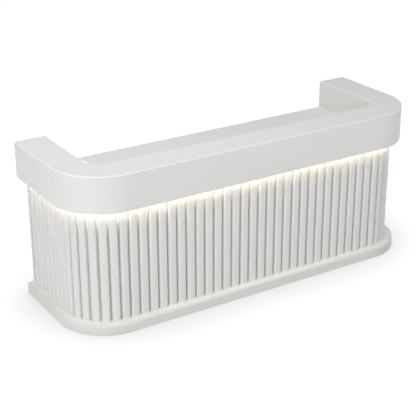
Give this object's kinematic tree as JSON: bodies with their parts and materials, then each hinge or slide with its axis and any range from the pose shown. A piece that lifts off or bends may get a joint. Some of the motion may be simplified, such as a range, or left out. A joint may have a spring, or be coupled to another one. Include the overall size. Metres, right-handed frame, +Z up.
{
  "type": "reception desk",
  "caption": "Reception desk with a raised U-shaped counter, lit fluted front with rounded corners, plinth, worktop, drawers and cupboard.",
  "frame": {"origin": "on the floor, under the middle of the desk's bounding box", "axes": "+X along the desk's length, to the right as the public sees it, -Y towards the public, +Y towards the staff, +Z up"},
  "size_m": [2.4, 0.79, 0.96],
  "materials": {
    "white_lacquer": "satin white lacquer on board",
    "slat_lacquer": "satin white lacquer on fluted slats",
    "panel_lacquer": "matt white lacquer on board, in shade",
    "white_melamine": "fine pearl white melamine on board",
    "drawer_board": "matt light grey melamine on board",
    "bare_board": "raw fibreboard",
    "anodised_aluminium": "matt anodised",
    "light_tape": "white flexible board",
    "opal_cover": "opal, lit warm white",
    "driver_case": "grey powder coat on die casting",
    "lead_sheath": "smooth white sheath",
    "grommet_plastic": "fine textured light grey",
    "brushed_steel": "brushed",
    "zinc_steel": "bright zinc plate",
    "lock_metal": "bright nickel plate"
  },
  "bodies": {
    "root": {"plinth_fascia": "white_lacquer", "plinth_top": "white_lacquer", "plinth_knee_rails": "white_melamine", "plinth_bearers": "bare_board", "front_panel": "panel_lacquer", "left_corner_panel": "panel_lacquer", "right_corner_panel": "panel_lacquer", "left_side_panel": "panel_lacquer", "right_side_panel": "panel_lacquer", "front_slats": "slat_lacquer", "left_corner_slats": "slat_lacquer", "right_corner_slats": "slat_lacquer", "left_side_slats": "slat_lacquer", "right_side_slats": "slat_lacquer", "wall_studs": "bare_board", "front_liner": "white_melamine", "side_liners": "white_melamine", "wall_end_boards": "white_lacquer", "counter_soffit": "white_lacquer", "counter_outer_fascia": "white_lacquer", "counter_inner_fascia": "white_lacquer", "counter_top": "white_lacquer", "counter_end_caps": "white_lacquer", "counter_ribs": "bare_board", "light_channel": "anodised_aluminium", "light_tape": "light_tape", "light_cover": "opal_cover", "light_driver": "driver_case", "light_lead": "lead_sheath", "worktop": "white_melamine", "cable_grommets": "grommet_plastic", "grommet_caps": "grommet_plastic", "cabinet_sides": "white_melamine", "cabinet_bases": "white_melamine", "cabinet_backs": "white_melamine", "cabinet_rails": "white_melamine", "cupboard_shelf": "white_melamine", "shelf_pegs": "brushed_steel", "runner_channels": "zinc_steel", "hinge_fixed_leaves": "brushed_steel"},
    "top_drawer": {"top_drawer_front": "white_lacquer", "top_drawer_box": "drawer_board", "top_drawer_handle": "brushed_steel", "top_drawer_runners": "zinc_steel", "lock_body": "lock_metal"},
    "top_slider": {"top_drawer_sliders": "zinc_steel"},
    "middle_drawer": {"middle_drawer_front": "white_lacquer", "middle_drawer_box": "drawer_board", "middle_drawer_handle": "brushed_steel", "middle_drawer_runners": "zinc_steel"},
    "middle_slider": {"middle_drawer_sliders": "zinc_steel"},
    "file_drawer": {"file_drawer_front": "white_lacquer", "file_drawer_box": "drawer_board", "file_drawer_handle": "brushed_steel", "file_drawer_runners": "zinc_steel"},
    "file_slider": {"file_drawer_sliders": "zinc_steel"},
    "lock": {"lock_barrel": "lock_metal"},
    "door": {"cupboard_door": "white_lacquer", "door_handle": "brushed_steel", "hinge_door_leaves": "brushed_steel"}
  },
  "joints": [
    {"name": "top_drawer_slide", "type": "slide", "parent": "root", "child": "top_drawer", "axis": [0, 1, 0], "range_m": [0, 0.45]},
    {"name": "top_slider_slide", "type": "slide", "parent": "root", "child": "top_slider", "axis": [0, 1, 0], "range_m": [0, 0.225]},
    {"name": "middle_drawer_slide", "type": "slide", "parent": "root", "child": "middle_drawer", "axis": [0, 1, 0], "range_m": [0, 0.45]},
    {"name": "middle_slider_slide", "type": "slide", "parent": "root", "child": "middle_slider", "axis": [0, 1, 0], "range_m": [0, 0.225]},
    {"name": "file_drawer_slide", "type": "slide", "parent": "root", "child": "file_drawer", "axis": [0, 1, 0], "range_m": [0, 0.45]},
    {"name": "file_slider_slide", "type": "slide", "parent": "root", "child": "file_slider", "axis": [0, 1, 0], "range_m": [0, 0.225]},
    {"name": "lock_turn", "type": "hinge", "parent": "top_drawer", "child": "lock", "pos_m": [-0.633, 0.355, 0.697], "axis": [0, 1, 0], "range_deg": [0, 90]},
    {"name": "door_swing", "type": "hinge", "parent": "root", "child": "door", "pos_m": [0.9845, 0.359, 0.3985], "axis": [0, 0, -1], "range_deg": [0, 105]}
  ],
  "couplings": [
    {"joint": "top_slider_slide", "follows": "top_drawer_slide", "ratio": 0.5},
    {"joint": "middle_slider_slide", "follows": "middle_drawer_slide", "ratio": 0.5},
    {"joint": "file_slider_slide", "follows": "file_drawer_slide", "ratio": 0.5}
  ]
}
